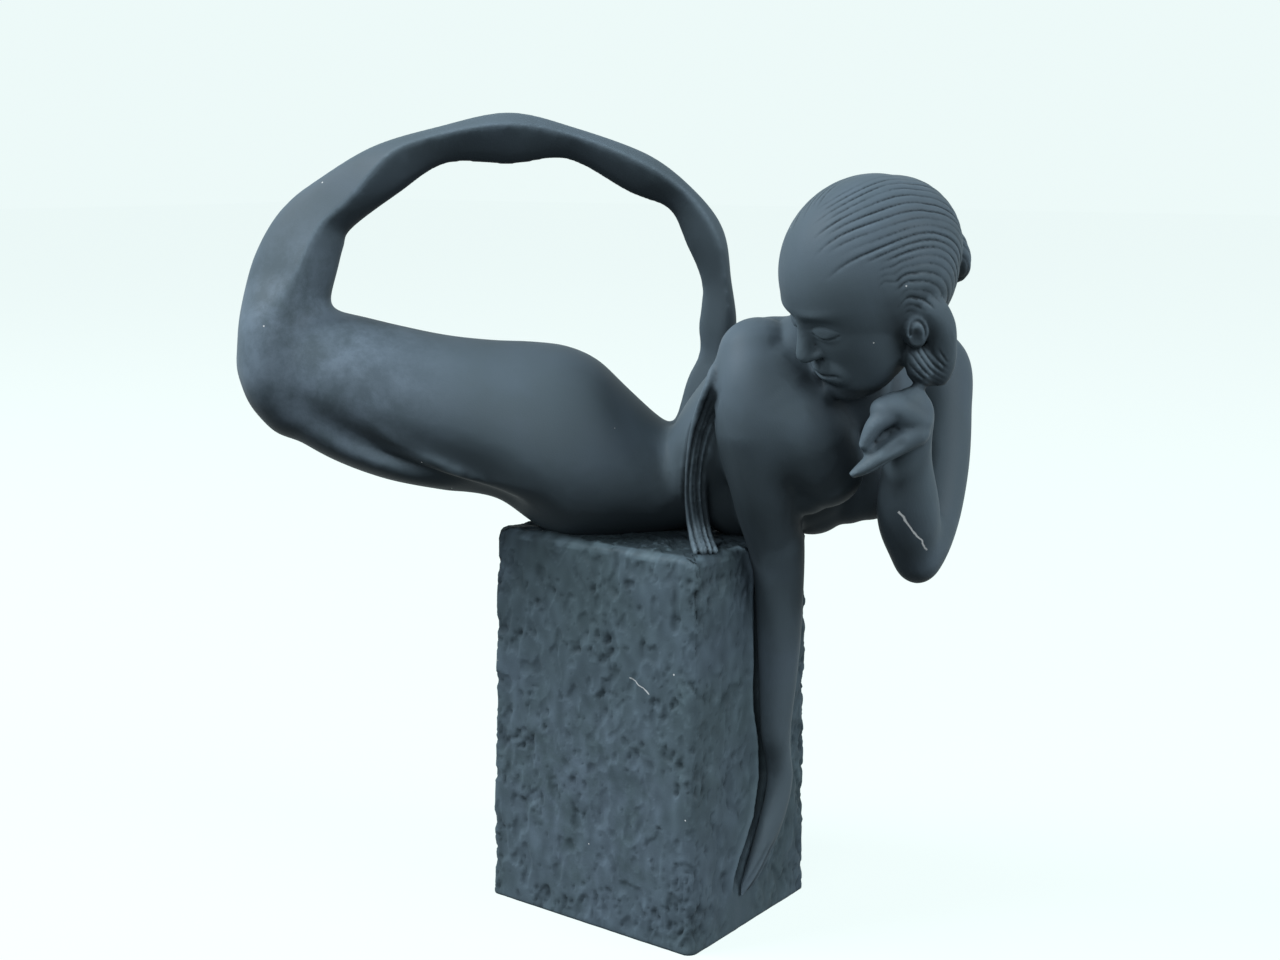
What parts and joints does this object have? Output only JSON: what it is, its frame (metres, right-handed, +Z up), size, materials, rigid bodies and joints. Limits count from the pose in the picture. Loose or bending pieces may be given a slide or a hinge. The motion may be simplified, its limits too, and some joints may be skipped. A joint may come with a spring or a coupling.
{
  "type": "zodiac figurine",
  "caption": "Scorpion zodiac figurine: woman lying over a rough-hewn stone block, legs turning into a jointed tail that loops over to her back; one matt black casting.",
  "frame": {"origin": "centre of the block's base, on the table", "axes": "+Z up; +X towards the block's end face that carries the hanging arm; the block is long in X and the figure lies across its diagonal"},
  "size_m": [0.1713, 0.1213, 0.2054],
  "materials": {
    "porcelain": "matt unglazed black porcelain, smooth on the figure and hewn on the block"
  },
  "bodies": {
    "root": {"figurine": "porcelain"}
  },
  "joints": []
}
